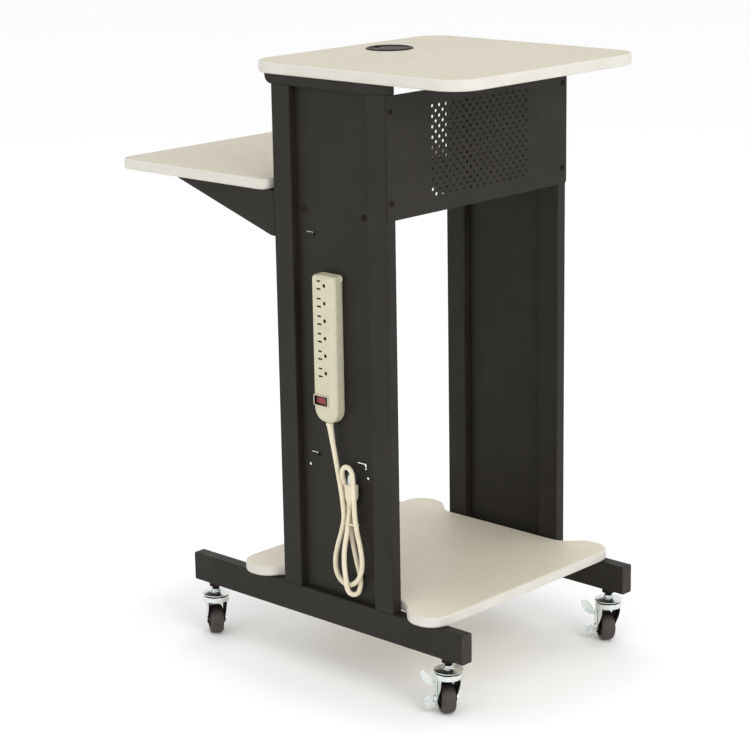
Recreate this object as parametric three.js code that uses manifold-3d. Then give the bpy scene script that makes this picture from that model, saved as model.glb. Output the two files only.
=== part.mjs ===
// A wheeled presentation lectern: two sheet-metal columns on a pair of base tubes carry a laminate
// worktop, a lower side shelf and a base shelf. A power strip with its tied cord hangs on one column.
// Millimetres, +Z up, floor at z = 0. The audience side is -Y, the presenter's side shelf is at +Y,
// and the column with the power strip is at -X.
import * as THREE from "three";
import { mergeVertices } from "three/addons/utils/BufferGeometryUtils.js";
import Module from "manifold-3d";

const wasm = await Module();
wasm.setup();

// ---------------------------------------------------------------- driving dimensions
const gap = 0.3; // clearance kept between parts that touch

// levels, from the floor up
const tubeBottom = 99;
const tubeTop = 149;
const baseShelfThick = 18;
const sideShelfBottom = 819;
const sideShelfThick = 19;
const modestyBottom = 797.5;
const railBottom = 994;
const worktopBottom = 1010;
const worktopThick = 19;

// plan, measured from the middle of the columns
const columnHalfWidth = 223; // outer face of each column
const postWide = 21; // along X
const postDeep = 40.5; // along Y
const columnHalfDepth = 125;
const panelSetback = 13; // from the -X face of a column to its sheet panel
const sheet = 1.5;
const tubeWide = 24;
const tubeFront = -273;
const tubeRear = 351;
const capCover = 2; // thickness of the plastic cap on a tube's end
const worktopHalfWidth = 228.5;
const worktopFront = -281;
const worktopRear = 176;
const worktopRadius = 50;
const sideShelfFront = 138;
const sideShelfRear = 500;
const sideShelfRadius = 22;
const baseShelfHalfWidth = 236;
const baseShelfHalfDepth = 228;
const lobeRadius = 38;
const railOverhang = 14; // rear of a column, and the radius of the rail's rounded end
const bracketReach = 356;

// grommet in the worktop
const grommetX = 22;
const grommetY = 90;
const grommetFlange = 40; // radius
const grommetBore = 33;

// casters, two-inch wheels
const wheelRadius = 25.4;
const wheelWide = 24;
const casterTrail = 15; // from the swivel axis to the axle
const casterInset = 39.5; // from a tube's end to the swivel axis
const casterHeading = 55; // degrees, the way every wheel trails at rest
const crownRadius = 23;
const crownBottom = 66.5;
const crownTop = 77.8;
const plateTop = 92.7; // top of the nut on the plate
const forkInner = 13.5;
const forkSheet = 2.5;

// power strip on the -X column
const stripY = 9.5;
const stripWide = 47;
const stripTop = 697;
const stripShoulder = 473; // where the round nose begins
const stripNose = 450;
const stripThick = 22;
const switchY = 17;
const switchZ = 487.5;
const bezelHalfWide = 16.2;
const bezelHalfHigh = 9.2;
const bezelDeep = 8.7; // how far it goes into the housing

// power cord, from the strain relief to the knot of loops that hangs below
const cordDiameter = 8.4;
const reliefLength = 34;
const cordX = -222.5;

// ---------------------------------------------------------------- materials
function finish(color, roughness, metalness) {
  return new THREE.MeshStandardMaterial({ color, roughness, metalness });
}
const laminate = finish(0xd8d0be, 0.45, 0);
const paintedSteel = finish(0x3b3936, 0.55, 0.3);
const darkPlastic = finish(0x1d1c1b, 0.5, 0);
const creamPlastic = finish(0xded7c0, 0.4, 0);
const redPlastic = finish(0x8c1e1e, 0.35, 0);
const zinc = finish(0xc8cdcd, 0.3, 0.9);
const rubber = finish(0x3d3836, 0.7, 0);

// ---------------------------------------------------------------- solid helpers
function toSolid(geometry) {
  const bare = geometry.index ? geometry.toNonIndexed() : geometry.clone();
  bare.deleteAttribute("normal");
  bare.deleteAttribute("uv");
  const merged = mergeVertices(bare, 1e-4);
  const mesh = new wasm.Mesh({
    numProp: 3,
    vertProperties: new Float32Array(merged.attributes.position.array),
    triVerts: new Uint32Array(merged.index.array),
  });
  return new wasm.Manifold(mesh);
}

function toGeometry(solid) {
  const mesh = solid.getMesh();
  const geometry = new THREE.BufferGeometry();
  geometry.setAttribute("position", new THREE.BufferAttribute(mesh.vertProperties, 3));
  geometry.setIndex(new THREE.BufferAttribute(mesh.triVerts, 1));
  return geometry;
}

function join(first, ...others) {
  return toGeometry(others.reduce((solid, other) => solid.add(toSolid(other)), toSolid(first)));
}

function cut(first, ...others) {
  return toGeometry(others.reduce((solid, other) => solid.subtract(toSolid(other)), toSolid(first)));
}

function box(x0, x1, y0, y1, z0, z1) {
  const geometry = new THREE.BoxGeometry(x1 - x0, y1 - y0, z1 - z0);
  return geometry.translate((x0 + x1) / 2, (y0 + y1) / 2, (z0 + z1) / 2);
}

// a flat outline in X and Y, raised from z0 to z1
function raised(shape, z0, z1, curveSegments = 8) {
  const options = { depth: z1 - z0, bevelEnabled: false, curveSegments };
  return new THREE.ExtrudeGeometry(shape, options).translate(0, 0, z0);
}

// an outline drawn in Y and Z, given thickness along X from x0 to x1
function sideways(shape, x0, x1, options = {}) {
  const settings = { depth: x1 - x0, bevelEnabled: false, curveSegments: 8, ...options };
  const geometry = new THREE.ExtrudeGeometry(shape, settings);
  const turn = new THREE.Matrix4().set(0, 0, 1, x0, 1, 0, 0, 0, 0, 1, 0, 0, 0, 0, 0, 1);
  return geometry.applyMatrix4(turn);
}

// a turned profile of [radius, height] pairs around the Z axis
function turned(profile, segments = 24) {
  const points = profile.map(([radius, height]) => new THREE.Vector2(radius, height));
  return new THREE.LatheGeometry(points, segments).rotateX(Math.PI / 2);
}

function roundedRectangle(x0, x1, y0, y1, radius) {
  const shape = new THREE.Shape();
  shape.moveTo(x0 + radius, y0);
  shape.lineTo(x1 - radius, y0);
  shape.absarc(x1 - radius, y0 + radius, radius, -Math.PI / 2, 0);
  shape.absarc(x1 - radius, y1 - radius, radius, 0, Math.PI / 2);
  shape.absarc(x0 + radius, y1 - radius, radius, Math.PI / 2, Math.PI);
  shape.absarc(x0 + radius, y0 + radius, radius, Math.PI, Math.PI * 1.5);
  return shape;
}

function circle(x, y, radius) {
  const path = new THREE.Path();
  path.absarc(x, y, radius, 0, Math.PI * 2);
  return path;
}

// ---------------------------------------------------------------- assembly
const lectern = new THREE.Group();

function place(name, geometry, material, parent = lectern) {
  const mesh = new THREE.Mesh(geometry, material);
  mesh.name = name;
  parent.add(mesh);
  return mesh;
}

// ---------------------------------------------------------------- boards
function worktop() {
  const shape = roundedRectangle(
    -worktopHalfWidth, worktopHalfWidth, worktopFront, worktopRear, worktopRadius);
  shape.holes.push(circle(grommetX, grommetY, grommetBore + 2 + gap));
  return raised(shape, worktopBottom, worktopBottom + worktopThick, 12);
}

function sideShelf() {
  const shape = roundedRectangle(
    -worktopHalfWidth, worktopHalfWidth, sideShelfFront, sideShelfRear, sideShelfRadius);
  return raised(shape, sideShelfBottom, sideShelfBottom + sideShelfThick, 6);
}

// The base shelf is a rectangle with a notch for each column. Each notch ends in an S-curve
// that swings out over the base tube to a round lobe.
function baseShelf() {
  const notchClear = 2.5; // between the shelf and a post
  const notchX = columnHalfWidth - postWide - notchClear;
  const swing = baseShelfHalfWidth - notchX;
  const lobeStart = 184; // |y| where the S-curve reaches the full width
  const notchEnd = 118; // |y| where the S-curve leaves the notch
  const middleX = notchX + swing / 2;
  const middleY = (lobeStart + notchEnd) / 2;
  const bend = 17; // from each end of the S-curve to its control point
  const shape = new THREE.Shape();
  // outward draws a corner from the notch to the lobe, and otherwise from the lobe to the notch
  const corner = (sx, sy, outward) => {
    const sCurve = [
      [[notchX, notchEnd], [notchX, notchEnd + bend], [middleX, middleY]],
      [[middleX, middleY], [baseShelfHalfWidth, lobeStart - bend],
        [baseShelfHalfWidth, lobeStart]],
    ];
    const cornerX = baseShelfHalfWidth - lobeRadius;
    const cornerY = baseShelfHalfDepth - lobeRadius;
    if (outward) {
      shape.lineTo(sx * notchX, sy * notchEnd);
      for (const [, control, end] of sCurve) {
        shape.quadraticCurveTo(sx * control[0], sy * control[1], sx * end[0], sy * end[1]);
      }
      shape.lineTo(sx * baseShelfHalfWidth, sy * cornerY);
      quarterRound(shape, sx * cornerX, sy * cornerY, sx > 0 ? 0 : Math.PI);
    } else {
      shape.lineTo(sx * cornerX, sy * baseShelfHalfDepth);
      quarterRound(shape, sx * cornerX, sy * cornerY, sy > 0 ? Math.PI / 2 : Math.PI * 1.5);
      for (const [start, control] of [...sCurve].reverse()) {
        if (start === sCurve[1][0]) shape.lineTo(sx * baseShelfHalfWidth, sy * lobeStart);
        shape.quadraticCurveTo(sx * control[0], sy * control[1], sx * start[0], sy * start[1]);
      }
    }
  };
  shape.moveTo(notchX, 0);
  corner(1, 1, true);
  corner(-1, 1, false);
  corner(-1, -1, true);
  corner(1, -1, false);
  return raised(shape, tubeTop + gap, tubeTop + baseShelfThick, 5);
}

function quarterRound(shape, x, y, startAngle) {
  shape.absarc(x, y, lobeRadius, startAngle, startAngle + Math.PI / 2);
}

// ---------------------------------------------------------------- frame
function tubeBetween(x0, x1, y0, y1, wall) {
  const shape = roundedRectangle(x0, x1, y0, y1, 2);
  const hole = roundedRectangle(x0 + wall, x1 - wall, y0 + wall, y1 - wall, 1);
  shape.holes.push(hole);
  return shape;
}

function post(x0, y0) {
  const shape = tubeBetween(x0, x0 + postWide, y0, y0 + postDeep, sheet);
  return raised(shape, tubeTop + gap, railBottom - gap, 2);
}

// The rail under the worktop runs the depth of a column and ends in a quarter round at the rear.
function topRail(x0) {
  const rear = columnHalfDepth + railOverhang;
  const shape = new THREE.Shape();
  shape.moveTo(-columnHalfDepth, railBottom);
  shape.lineTo(columnHalfDepth, railBottom);
  shape.absarc(columnHalfDepth, railBottom + railOverhang, railOverhang, -Math.PI / 2, 0);
  shape.lineTo(rear, worktopBottom - gap);
  shape.lineTo(-columnHalfDepth, worktopBottom - gap);
  return sideways(shape, x0, x0 + postWide);
}

function baseTube(x0) {
  const outline = new THREE.Shape();
  const wall = 2;
  outline.moveTo(0, 0);
  outline.lineTo(tubeWide, 0);
  outline.lineTo(tubeWide, tubeTop - tubeBottom);
  outline.lineTo(0, tubeTop - tubeBottom);
  const hole = new THREE.Path();
  hole.moveTo(wall, wall);
  hole.lineTo(tubeWide - wall, wall);
  hole.lineTo(tubeWide - wall, tubeTop - tubeBottom - wall);
  hole.lineTo(wall, tubeTop - tubeBottom - wall);
  outline.holes.push(hole);
  const options = { depth: tubeRear - tubeFront - 2 * capCover, bevelEnabled: false };
  const geometry = new THREE.ExtrudeGeometry(outline, options);
  return geometry.rotateX(Math.PI / 2).translate(x0, tubeRear - capCover, tubeBottom);
}

// A plastic cap closes each end of a base tube: a cover plate and a plug that goes inside.
function tubeCap(x0, end) {
  const clear = 2.4;
  const plugDeep = 12;
  const outer = end > 0 ? tubeRear : tubeFront;
  const inner = outer - end * (capCover - gap);
  const deep = inner - end * plugDeep;
  const cover = box(
    x0, x0 + tubeWide, Math.min(outer, inner), Math.max(outer, inner), tubeBottom, tubeTop);
  const plug = box(
    x0 + clear, x0 + tubeWide - clear, Math.min(inner + end, deep), Math.max(inner + end, deep),
    tubeBottom + clear, tubeTop - clear);
  return join(cover, plug);
}

// A sheet panel fills the space between the two posts of a column. Its lanced hooks hold cords.
function sidePanel(x0, hooks) {
  const half = columnHalfDepth - postDeep - gap;
  const plate = box(x0, x0 + sheet, -half, half, tubeTop + gap, railBottom - gap);
  const hookHalf = 10;
  const hookSheet = 1.2;
  const hookReach = 3;
  const lip = 5; // height of the hook's upturned edge
  const parts = hooks.flatMap(([y, z]) => [
    box(x0 - hookReach, x0 + 0.5, y - hookHalf, y + hookHalf, z - hookSheet, z),
    box(x0 - hookReach, x0 - hookReach + hookSheet, y - hookHalf, y + hookHalf, z - hookSheet,
      z + lip),
  ]);
  return parts.length ? join(plate, ...parts) : plate;
}

// A triangular bracket under the side shelf, folded from sheet: web, top flange and rear flange.
function shelfBracket(side) {
  const lip = 8; // the web's width at its foot
  const folded = 2; // thickness of the bracket's sheet
  const front = columnHalfDepth + gap;
  const top = sideShelfBottom - gap;
  const bottom = 745;
  const flangeShort = 20; // the top flange stops this far from the web's tip
  const web = new THREE.Shape();
  web.moveTo(front, bottom);
  web.lineTo(front + lip, bottom);
  web.lineTo(bracketReach, top - 1.5);
  web.lineTo(bracketReach, top);
  web.lineTo(front, top);
  const span = (from, to) => [Math.min(side * from, side * to), Math.max(side * from, side * to)];
  const webOuter = columnHalfWidth - 0.5;
  const [webA, webB] = span(webOuter, webOuter - folded);
  const [flangeA, flangeB] = span(webOuter - folded / 2, columnHalfWidth - postWide);
  const topFlange = box(flangeA, flangeB, front, bracketReach - flangeShort, top - folded, top);
  const rearFlange = box(flangeA, flangeB, front, front + folded, bottom, top);
  return join(sideways(web, webA, webB), topFlange, rearFlange);
}

// The modesty panel laps over the front faces of the posts.
function modestyPanel() {
  const half = columnHalfWidth - 0.5;
  const shape = new THREE.Shape();
  const radius = 6;
  shape.moveTo(-half + radius, modestyBottom);
  shape.lineTo(half - radius, modestyBottom);
  shape.absarc(half - radius, modestyBottom + radius, radius, -Math.PI / 2, 0);
  shape.lineTo(half, railBottom - gap);
  shape.lineTo(-half, railBottom - gap);
  shape.absarc(-half + radius, modestyBottom + radius, radius, Math.PI, Math.PI * 1.5);
  const options = { depth: sheet, bevelEnabled: false, curveSegments: 4 };
  const geometry = new THREE.ExtrudeGeometry(shape, options);
  return geometry.rotateX(Math.PI / 2).translate(0, -columnHalfDepth - gap, 0);
}

function panelScrew(x, z) {
  const head = turned([[0, 0], [4.5, 0], [4.5, 0.8], [3.2, 2.2], [0, 2.6]], 16);
  const front = -columnHalfDepth - gap - sheet - gap;
  return head.rotateX(Math.PI / 2).translate(x, front, z);
}

// ---------------------------------------------------------------- casters
function casterSocket() {
  return turned([[0, plateTop + gap], [11, plateTop + gap], [11, tubeBottom - gap],
    [0, tubeBottom - gap]], 20);
}

// A round plate under the tube, with the swivel bolt's nut on it.
function casterPlate() {
  return turned([[0, crownTop + gap], [22, crownTop + gap], [24, crownTop + 1.3],
    [24, crownTop + 2.4], [15, crownTop + 4.7], [9.5, crownTop + 5.7], [8, crownTop + 6.7],
    [8, plateTop], [0, plateTop]], 28);
}

// The fork is a pressed crown with two legs that reach back to the axle.
// Its own frame: +X is the way the wheel trails, and +Y runs along the axle.
function forkLeg(side) {
  const leg = new THREE.Shape();
  const end = 8;
  const rear = -13;
  const turn = 0.35; // how far the arc at the axle wraps each side of straight down
  leg.moveTo(rear, crownBottom + 4);
  leg.lineTo(rear, crownBottom - 8);
  leg.lineTo(casterTrail - end * Math.cos(turn), wheelRadius - end * Math.sin(turn));
  leg.absarc(casterTrail, wheelRadius, end, Math.PI + turn, Math.PI * 2 + turn);
  leg.lineTo(16, crownBottom - 4);
  leg.lineTo(16, crownBottom + 4);
  const options = { depth: forkSheet, bevelEnabled: false, curveSegments: 6 };
  const geometry = new THREE.ExtrudeGeometry(leg, options).rotateX(Math.PI / 2);
  return geometry.translate(0, side > 0 ? forkInner + forkSheet : -forkInner, 0);
}

function bore(radius) {
  const geometry = new THREE.CylinderGeometry(radius, radius, 60, 16);
  return geometry.translate(casterTrail, 0, wheelRadius);
}

function casterFork() {
  const crown = turned([[0, crownBottom], [crownRadius - 1, crownBottom],
    [crownRadius, crownBottom + 1], [crownRadius, crownTop - 2], [crownRadius - 2, crownTop],
    [0, crownTop]], 28);
  return cut(join(crown, forkLeg(1), forkLeg(-1)), bore(3.4));
}

function casterWheel() {
  const half = wheelWide / 2;
  const shoulder = 3.5;
  const profile = [[3.5, -half], [wheelRadius - shoulder, -half], [wheelRadius, -half + shoulder],
    [wheelRadius, half - shoulder], [wheelRadius - shoulder, half], [3.5, half], [3.5, -half]];
  const geometry = turned(profile, 32).rotateX(Math.PI / 2);
  return geometry.translate(casterTrail, 0, wheelRadius);
}

// The axle bolt: a shaft with a head outside one leg and a nut outside the other.
function casterAxle(braked) {
  const near = forkInner + forkSheet + gap;
  const far = braked ? near + 2 + gap : near;
  const profile = [[0, -near - 2.5], [5, -near - 2.5], [5, -near], [3, -near], [3, far],
    [5.5, far], [5.5, far + 3], [0, far + 3]];
  const geometry = turned(profile, 12).rotateX(-Math.PI / 2);
  return geometry.translate(casterTrail, 0, wheelRadius);
}

// A pressed lever on the axle, outside one leg: the upper paddle locks and the lower one frees.
// Both paddles stand out sideways from the arm, so their outlines are drawn along Y and Z.
function brakeLever() {
  const inner = forkInner + forkSheet + gap;
  const arm = new THREE.Shape();
  arm.moveTo(casterTrail - 8, wheelRadius);
  arm.lineTo(casterTrail - 3, 58);
  arm.lineTo(casterTrail + 5, 58);
  arm.lineTo(casterTrail + 8, wheelRadius);
  arm.lineTo(casterTrail + 6, 12);
  arm.lineTo(casterTrail, 12);
  const plate = new THREE.ExtrudeGeometry(arm, { depth: 2, bevelEnabled: false });
  plate.rotateX(Math.PI / 2).translate(0, inner + 2, 0);
  const paddle = (outline) => {
    const shape = new THREE.Shape(outline.map(([reach, z]) => new THREE.Vector2(reach, z)));
    return sideways(shape, casterTrail + 3, casterTrail + 5);
  };
  const upper = paddle(
    [[inner + 1, 45], [27, 46], [35, 52], [43, 64], [44, 71], [40, 75], [34, 74], [26, 64],
      [inner + 1, 57]]);
  const lower = paddle(
    [[inner + 1, 8], [20, 6], [31, 5], [36, 9], [35, 20], [30, 28], [24, 29], [22.5, 19],
      [inner + 1, 19]]);
  return cut(join(plate, upper, lower), bore(3.4));
}

function addCaster(name, x, y, braked) {
  const fixed = new THREE.Group();
  fixed.position.set(x, y, 0);
  lectern.add(fixed);
  place(`${name}_caster_socket`, casterSocket(), darkPlastic, fixed);
  place(`${name}_caster_plate`, casterPlate(), zinc, fixed);
  const turning = new THREE.Group();
  turning.position.set(x, y, 0);
  turning.rotation.z = THREE.MathUtils.degToRad(casterHeading);
  lectern.add(turning);
  place(`${name}_caster_fork`, casterFork(), zinc, turning);
  place(`${name}_caster_axle`, casterAxle(braked), zinc, turning);
  place(`${name}_caster_wheel`, casterWheel(), rubber, turning);
  if (braked) place(`${name}_brake_lever`, brakeLever(), zinc, turning);
}

// ---------------------------------------------------------------- grommet
function grommetSleeve() {
  const top = worktopBottom + worktopThick;
  const profile = [[grommetBore, worktopBottom - 4], [grommetBore + 2, worktopBottom - 4],
    [grommetBore + 2, top + gap], [grommetFlange, top + gap], [grommetFlange - 1.5, top + 2],
    [grommetBore + 1, top + 2.3], [grommetBore, top + 1.5], [grommetBore, worktopBottom - 4]];
  return turned(profile, 32).translate(grommetX, grommetY, 0);
}

function grommetCap() {
  const top = worktopBottom + worktopThick;
  const radius = grommetBore - 0.6;
  const disc = turned([[0, top - 2.5], [radius - 1, top - 2.5], [radius, top - 1.5],
    [radius, top + 0.8], [radius - 1, top + 1.4], [0, top + 1.4]], 32);
  const notch = box(-7, 7, radius - 10, radius + 4, top - 6, top + 6);
  return cut(disc, notch).translate(grommetX, grommetY, 0);
}

// ---------------------------------------------------------------- power strip
const stripBack = -columnHalfWidth + panelSetback - gap;
const stripFace = stripBack - gap - stripThick;

// outline of the housing seen from the front, drawn in Y and Z
function stripOutline(inset) {
  const half = stripWide / 2 - inset;
  const shape = new THREE.Shape();
  const corner = 4;
  shape.moveTo(stripY - half, stripShoulder);
  shape.bezierCurveTo(stripY - half, stripShoulder - 13, stripY - 14, stripNose + inset,
    stripY, stripNose + inset);
  shape.bezierCurveTo(stripY + 14, stripNose + inset, stripY + half, stripShoulder - 13,
    stripY + half, stripShoulder);
  shape.lineTo(stripY + half, stripTop - corner - inset);
  shape.absarc(stripY + half - corner, stripTop - corner - inset, corner, 0, Math.PI / 2);
  shape.absarc(stripY - half + corner, stripTop - corner - inset, corner, Math.PI / 2, Math.PI);
  return shape;
}

function stripBase() {
  return sideways(stripOutline(0.8), stripBack - 2, stripBack, { curveSegments: 6 });
}

function stripCover() {
  const bevel = 6;
  const options = {
    bevelEnabled: true, bevelSize: bevel, bevelThickness: bevel, bevelSegments: 3,
    curveSegments: 6,
  };
  const back = stripBack - 2 - gap;
  const shell = sideways(stripOutline(bevel), stripFace + bevel, back + 6, options);
  const behind = box(back, back + 40, -100, 100, 300, 900);
  const pocketHalfWide = bezelHalfWide + gap;
  const pocketHalfHigh = bezelHalfHigh + gap;
  const pocket = box(stripFace - 1, stripFace + bezelDeep + gap, switchY - pocketHalfWide,
    switchY + pocketHalfWide, switchZ - pocketHalfHigh, switchZ + pocketHalfHigh);
  return cut(shell, behind, pocket);
}

// The switch sits across the strip: its rocker tips about a vertical pin.
function switchBezel() {
  const proud = 2.4;
  const floor = 1.7;
  const rim = 2;
  const frame = (x0, x1, wall) => box(x0, x1, switchY - bezelHalfWide + wall,
    switchY + bezelHalfWide - wall, switchZ - bezelHalfHigh + wall, switchZ + bezelHalfHigh - wall);
  const outer = frame(stripFace - proud, stripFace + bezelDeep, 0);
  const window = frame(stripFace - proud - 1, stripFace + bezelDeep - floor, rim);
  return cut(outer, window);
}

// The rocker's outline is drawn about its pin, with +Y facing out, then turned to face -X.
const rockerX = stripFace + 1;
const rockerRest = THREE.MathUtils.degToRad(-6);
function rockerSwitch() {
  const half = 12.5;
  const halfHigh = 6.4;
  const shape = new THREE.Shape();
  shape.moveTo(half, 1.5);
  shape.quadraticCurveTo(0, 0.5, -half, 1.5);
  shape.lineTo(-half, -1.5);
  shape.quadraticCurveTo(0, -5, half, -1.5);
  return raised(shape, -halfHigh, halfHigh, 6).rotateZ(Math.PI / 2 + rockerRest);
}

// ---------------------------------------------------------------- power cord
// the cord's own frame is the lectern's: X off the column, Y along it, Z up
const reliefTilt = Math.atan2(6, reliefLength);
const reliefTop = new THREE.Vector3(cordX, stripY, stripNose - gap);
const cordExit = new THREE.Vector3(
  cordX,
  stripY - reliefLength * Math.sin(reliefTilt),
  reliefTop.z - reliefLength * Math.cos(reliefTilt),
);

function strainRelief() {
  const profile = [[0, -reliefLength], [4.6, -reliefLength], [5.6, -6], [6, -3], [0, -3]];
  const boot = turned(profile, 16).rotateX(-reliefTilt);
  const root = turned([[0, -4.5], [5.6, -4.5], [6, 0], [0, 0]], 16);
  return join(boot, root).translate(reliefTop.x, reliefTop.y, reliefTop.z);
}

const hankTop = 387;
const hankShoulder = 362; // the cord joins the hank here
const hankBottom = 153;
const hankBack = -columnHalfWidth + panelSetback - 0.6;
const hankFront = hankBack - 26.4;
const hookFront = -217.5; // the top loop passes in front of a hook
const hookClear = 376;

// points of the cord's middle line, from the strain relief to the hank
const cordRoute = [
  [cordX, 3.1, 416], [cordX, 0.6, 402], [cordX, -3.4, 386], [-222.8, -7.4, 366],
  [-222.9, -8.2, hankShoulder],
];

function powerCord() {
  const start = cordExit.clone();
  start.z -= gap;
  const points = cordRoute.map(([x, y, z]) => new THREE.Vector3(x, y, z));
  points[0] = start;
  points[points.length - 1].z += 4 * gap;
  const section = new THREE.Shape();
  section.absarc(0, 0, cordDiameter / 2, 0, Math.PI * 2);
  const extrudePath = new THREE.CatmullRomCurve3(points);
  return new THREE.ExtrudeGeometry(section, { steps: 6, curveSegments: 5, extrudePath });
}

// The hank's outer shape, drawn in Y and Z: the top loop, the tied waist and the lower loops.
function cordHank() {
  const shape = new THREE.Shape();
  const loopY = -31;
  const loopRadius = 18.5;
  shape.moveTo(loopY + loopRadius, hankTop - loopRadius);
  shape.lineTo(-12.9, hankShoulder);
  shape.lineTo(-3.4, hankShoulder);
  shape.lineTo(-8.6, 338);
  shape.lineTo(-13.6, 302);
  shape.bezierCurveTo(-13.6, 284, 7, 250, 7, 212);
  shape.bezierCurveTo(7, 185, -12, 176, -24, 166);
  shape.bezierCurveTo(-30, 158, -34, hankBottom, -42, hankBottom);
  shape.bezierCurveTo(-50, hankBottom, -53, 165, -53, 180);
  shape.bezierCurveTo(-60, 190, -64, 205, -62.6, 222);
  shape.bezierCurveTo(-61, 250, -49.5, 270, -49.5, 300);
  shape.lineTo(loopY - loopRadius, hankTop - loopRadius);
  shape.absarc(loopY, hankTop - loopRadius, loopRadius, Math.PI, 0, true);
  const body = sideways(shape, hankFront, hankBack, { curveSegments: 5 });
  const hookStep = box(hookFront, hankBack + 1, -60, 0, hookClear, hankTop + 1);
  return cut(body, plugBody(0.4), hookStep);
}

// The plug lies in the hank with its blades up.
const plugY = -32;
const plugBottom = 322;
const plugTall = 31;
const plugHalfWide = 15.2;
const plugDeep = 15.2;
const bladeLong = 18;
const bladeSpacing = 12.7;
function plugBody(grow) {
  const body = box(hankBack - plugDeep - grow, hankBack + grow, plugY - plugHalfWide - grow,
    plugY + plugHalfWide + grow, plugBottom - grow, plugBottom + plugTall + grow);
  const blade = (x, y, wide, deep) => box(
    x - deep - grow, x + deep + grow, y - wide - grow, y + wide + grow,
    plugBottom + plugTall - 1, plugBottom + plugTall + bladeLong + grow);
  const middle = hankBack - plugDeep / 2;
  const blades = [
    blade(middle + 2, plugY + bladeSpacing / 2, 0.8, 3.2),
    blade(middle + 2, plugY - bladeSpacing / 2, 0.8, 3.2),
    blade(middle - 4.5, plugY, 2.4, 1.6),
  ];
  return join(body, ...blades);
}

// ---------------------------------------------------------------- build it
place("worktop", worktop(), laminate);
place("grommet_sleeve", grommetSleeve(), darkPlastic);
place("grommet_cap", grommetCap(), darkPlastic);
place("side_shelf", sideShelf(), laminate);
place("base_shelf", baseShelf(), laminate);
place("modesty_panel", modestyPanel(), paintedSteel);

const hooksOnLeft = [[56, 754], [56, 383.5], [-48, 383.5]];
for (const [side, name, hooks] of [[-1, "left", hooksOnLeft], [1, "right", []]]) {
  const columnX = side < 0 ? -columnHalfWidth : columnHalfWidth - postWide;
  const tubeX = side < 0 ? -columnHalfWidth : columnHalfWidth - tubeWide;
  place(`${name}_front_post`, post(columnX, -columnHalfDepth), paintedSteel);
  place(`${name}_rear_post`, post(columnX, columnHalfDepth - postDeep), paintedSteel);
  place(`${name}_panel`, sidePanel(columnX + panelSetback, hooks), paintedSteel);
  place(`${name}_top_rail`, topRail(columnX), paintedSteel);
  place(`${name}_shelf_bracket`, shelfBracket(side), paintedSteel);
  place(`${name}_base_tube`, baseTube(tubeX), paintedSteel);
  place(`${name}_front_tube_cap`, tubeCap(tubeX, -1), darkPlastic);
  place(`${name}_rear_tube_cap`, tubeCap(tubeX, 1), darkPlastic);
  const screwX = side * (columnHalfWidth - postWide / 2);
  place(`${name}_upper_panel_screw`, panelScrew(screwX, 968), darkPlastic);
  place(`${name}_lower_panel_screw`, panelScrew(screwX, 825), darkPlastic);
  const casterX = tubeX + tubeWide / 2;
  addCaster(`${name}_front`, casterX, tubeFront + casterInset, true);
  addCaster(`${name}_rear`, casterX, tubeRear - casterInset, false);
}

place("power_strip_base", stripBase(), creamPlastic);
place("power_strip_cover", stripCover(), creamPlastic);
place("switch_bezel", switchBezel(), creamPlastic);
const rocker = place("rocker_switch", rockerSwitch(), redPlastic);
rocker.position.set(rockerX, switchY, switchZ);
place("strain_relief", strainRelief(), creamPlastic);
place("power_cord", powerCord(), creamPlastic);
place("cord_hank", cordHank(), creamPlastic);
place("plug", plugBody(0), creamPlastic);

// the origin is on the floor, under the middle of the overall box without the cord and its plug
const cordNames = ["strain_relief", "power_cord", "cord_hank", "plug"];
const overall = new THREE.Box3();
for (const child of lectern.children) {
  if (!cordNames.includes(child.name)) overall.expandByObject(child);
}
lectern.position.x = -(overall.min.x + overall.max.x) / 2;
lectern.position.y = -(overall.min.y + overall.max.y) / 2;

export default lectern;
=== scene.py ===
# The looks of the wheeled presentation lectern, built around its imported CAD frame.
# Shapes are given in millimetres in the columns' own frame: X and Y from the middle of the two
# columns, Z up from the floor, the audience at -Y and the power strip on the -X column.
import math

import bmesh
import bpy
from mathutils import Matrix, Vector
from mathutils.geometry import convex_hull_2d


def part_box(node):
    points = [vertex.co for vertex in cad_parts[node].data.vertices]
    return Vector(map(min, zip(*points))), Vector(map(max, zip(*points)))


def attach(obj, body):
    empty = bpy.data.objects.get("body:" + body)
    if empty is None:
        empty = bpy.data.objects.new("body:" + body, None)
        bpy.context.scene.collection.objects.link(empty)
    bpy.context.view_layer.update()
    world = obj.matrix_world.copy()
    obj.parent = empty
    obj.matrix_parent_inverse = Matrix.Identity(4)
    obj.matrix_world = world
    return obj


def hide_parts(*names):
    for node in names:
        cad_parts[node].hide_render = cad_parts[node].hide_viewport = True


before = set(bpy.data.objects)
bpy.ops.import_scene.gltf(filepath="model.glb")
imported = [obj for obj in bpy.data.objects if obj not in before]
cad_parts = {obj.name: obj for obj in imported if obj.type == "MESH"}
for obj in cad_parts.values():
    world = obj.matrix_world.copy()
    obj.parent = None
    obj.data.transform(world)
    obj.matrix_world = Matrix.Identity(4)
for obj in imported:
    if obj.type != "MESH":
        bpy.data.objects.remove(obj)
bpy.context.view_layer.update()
MM = 0.001

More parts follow.
